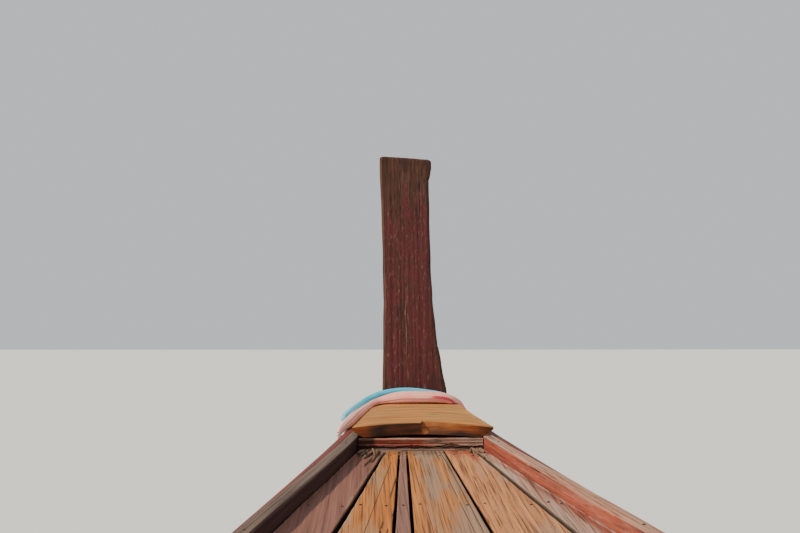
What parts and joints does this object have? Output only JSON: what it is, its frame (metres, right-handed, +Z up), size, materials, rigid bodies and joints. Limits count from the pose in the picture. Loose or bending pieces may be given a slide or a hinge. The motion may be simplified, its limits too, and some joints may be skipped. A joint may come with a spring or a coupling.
{
  "type": "longtail boat",
  "caption": "Open wooden longtail boat with a tall stem post, fanned foredeck, benches under a canopy and a swivelling engine with a long propeller shaft.",
  "frame": {"origin": "on the waterline afloat, on the centreline, amidships", "axes": "+Y forward to the bow, +X to starboard, +Z up"},
  "size_m": [1.9564, 14.098, 2.4577],
  "materials": {
    "stem_paint": "weathered dark red paint",
    "rail_wood": "bare weathered timber with old red paint",
    "deck_red": "worn red-brown paint",
    "deck_orange": "worn orange-brown varnish, greying",
    "deck_pink": "worn pinkish red paint",
    "bow_wood": "orange-brown stained timber",
    "hull_red": "faded red paint",
    "hull_wood": "oiled timber",
    "inner_wood": "bare timber",
    "bench_paint": "worn blue-green paint",
    "canopy_wood": "varnished timber",
    "canopy_cloth": "woven cloth",
    "blue_cloth": "thin cotton",
    "pink_cloth": "thin cotton",
    "steel": "grey paint with rust at the edges",
    "engine_metal": "grey-blue painted casting",
    "rusty_steel": "rusty red-brown paint",
    "head_casting": "dull cast aluminium, oily",
    "rubber": "matt black",
    "bronze": "dull bronze"
  },
  "bodies": {
    "hull": {"keel": "hull_wood", "garboard_aft_port": "hull_wood", "garboard_aft_starboard": "hull_wood", "garboard_fore_port": "hull_wood", "garboard_fore_starboard": "hull_wood", "bilge_strake_aft_port": "hull_wood", "bilge_strake_aft_starboard": "hull_wood", "bilge_strake_fore_port": "hull_wood", "bilge_strake_fore_starboard": "hull_wood", "side_strake_port": "hull_wood", "side_strake_starboard": "hull_wood", "engine_beam": "hull_wood", "sheer_strake_port": "hull_red", "sheer_strake_starboard": "hull_red", "rubbing_strake_port": "hull_red", "rubbing_strake_starboard": "hull_red", "transom": "hull_red", "stem_post": "stem_paint", "rail_port": "rail_wood", "rail_starboard": "rail_wood", "keelson_and_floors": "inner_wood", "side_frames_port": "inner_wood", "side_frames_starboard": "inner_wood", "floor_panel_port": "inner_wood", "floor_panel_starboard": "inner_wood", "deck_beams": "inner_wood", "stern_deck": "inner_wood", "bench_1": "bench_paint", "bench_2": "bench_paint", "bench_3": "bench_paint", "bench_4": "bench_paint", "bench_5": "bench_paint", "deck_margin_port": "deck_red", "deck_strip": "deck_red", "deck_plank_port": "deck_orange", "deck_plank_middle": "deck_orange", "deck_plank_starboard": "deck_orange", "deck_margin_starboard": "deck_pink", "bow_beam": "deck_pink", "bow_board": "bow_wood", "sash_blue": "blue_cloth", "sash_pink": "pink_cloth", "canopy_frame_port": "canopy_wood", "canopy_frame_starboard": "canopy_wood", "canopy_bows": "canopy_wood", "canopy_sheet": "canopy_cloth", "swivel_socket": "steel"},
    "swivel": {"swivel_yoke": "steel"},
    "engine": {"engine_cradle": "rusty_steel", "engine_block": "engine_metal", "cylinder_head": "head_casting", "belt_drive": "rubber", "dynamo": "steel", "air_intake": "head_casting", "exhaust": "rusty_steel", "tiller": "steel", "tail_tube": "steel", "skeg": "steel"},
    "propeller": {"propeller": "bronze"}
  },
  "joints": [
    {"name": "engine_swivel", "type": "hinge", "parent": "hull", "child": "swivel", "pos_m": [0, -4.62, 0.8], "axis": [0, 0, 1], "range_deg": [-45, 45]},
    {"name": "engine_tilt", "type": "hinge", "parent": "swivel", "child": "engine", "pos_m": [0, -4.62, 1.01], "axis": [1, 0, 0], "range_deg": [-6, 20]},
    {"name": "propeller_spin", "type": "hinge", "parent": "engine", "child": "propeller", "pos_m": [0, -9, 1.1], "axis": [0, 1, 0], "continuous": true}
  ]
}
